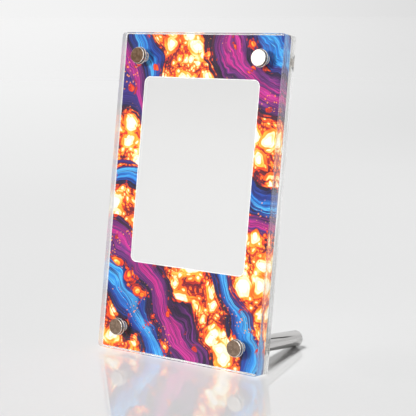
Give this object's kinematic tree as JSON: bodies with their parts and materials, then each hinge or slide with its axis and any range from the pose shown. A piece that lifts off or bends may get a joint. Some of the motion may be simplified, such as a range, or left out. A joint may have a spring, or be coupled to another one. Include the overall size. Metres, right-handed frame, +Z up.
{
  "type": "trading card frame",
  "caption": "Leaning tabletop frame of two clear plates clamped by capped screws round a colourful printed film with a window for a card, on rear posts.",
  "frame": {"origin": "on the surface it stands on, under the middle of its box", "axes": "+Z up; the front, with the screw caps, faces -Y and leans back towards +Y; +X is to the right as seen from the front"},
  "size_m": [0.091, 0.0586, 0.1531],
  "materials": {
    "clear_plate": "clear cast acrylic with polished faces and edges",
    "film": "film with a dark indigo printed ground",
    "blue_ink": "printed ink under clear plate",
    "magenta_ink": "printed ink under clear plate",
    "orange_ink": "printed ink under clear plate",
    "yellow_ink": "printed ink under clear plate",
    "polished_steel": "polished stainless steel, faintly turned",
    "brushed_steel": "stainless steel drawn bar, satin",
    "clear_washer": "clear soft plastic washer"
  },
  "bodies": {
    "root": {"front_plate": "clear_plate", "back_plate": "clear_plate", "print_film": "film", "ink_blue": "blue_ink", "ink_magenta": "magenta_ink", "ink_orange": "orange_ink", "ink_yellow": "yellow_ink", "cap_screw_bottom_left": "polished_steel", "cap_screw_bottom_right": "polished_steel", "cap_screw_top_left": "polished_steel", "cap_screw_top_right": "polished_steel", "front_ring_bottom_left": "polished_steel", "front_ring_bottom_right": "polished_steel", "front_ring_top_left": "polished_steel", "front_ring_top_right": "polished_steel", "rear_washer_bottom_left": "clear_washer", "rear_washer_bottom_right": "clear_washer", "rear_washer_top_left": "clear_washer", "rear_washer_top_right": "clear_washer", "rear_post_bottom_left": "brushed_steel", "rear_post_bottom_right": "brushed_steel", "cap_nut_top_left": "brushed_steel", "cap_nut_top_right": "brushed_steel"}
  },
  "joints": []
}
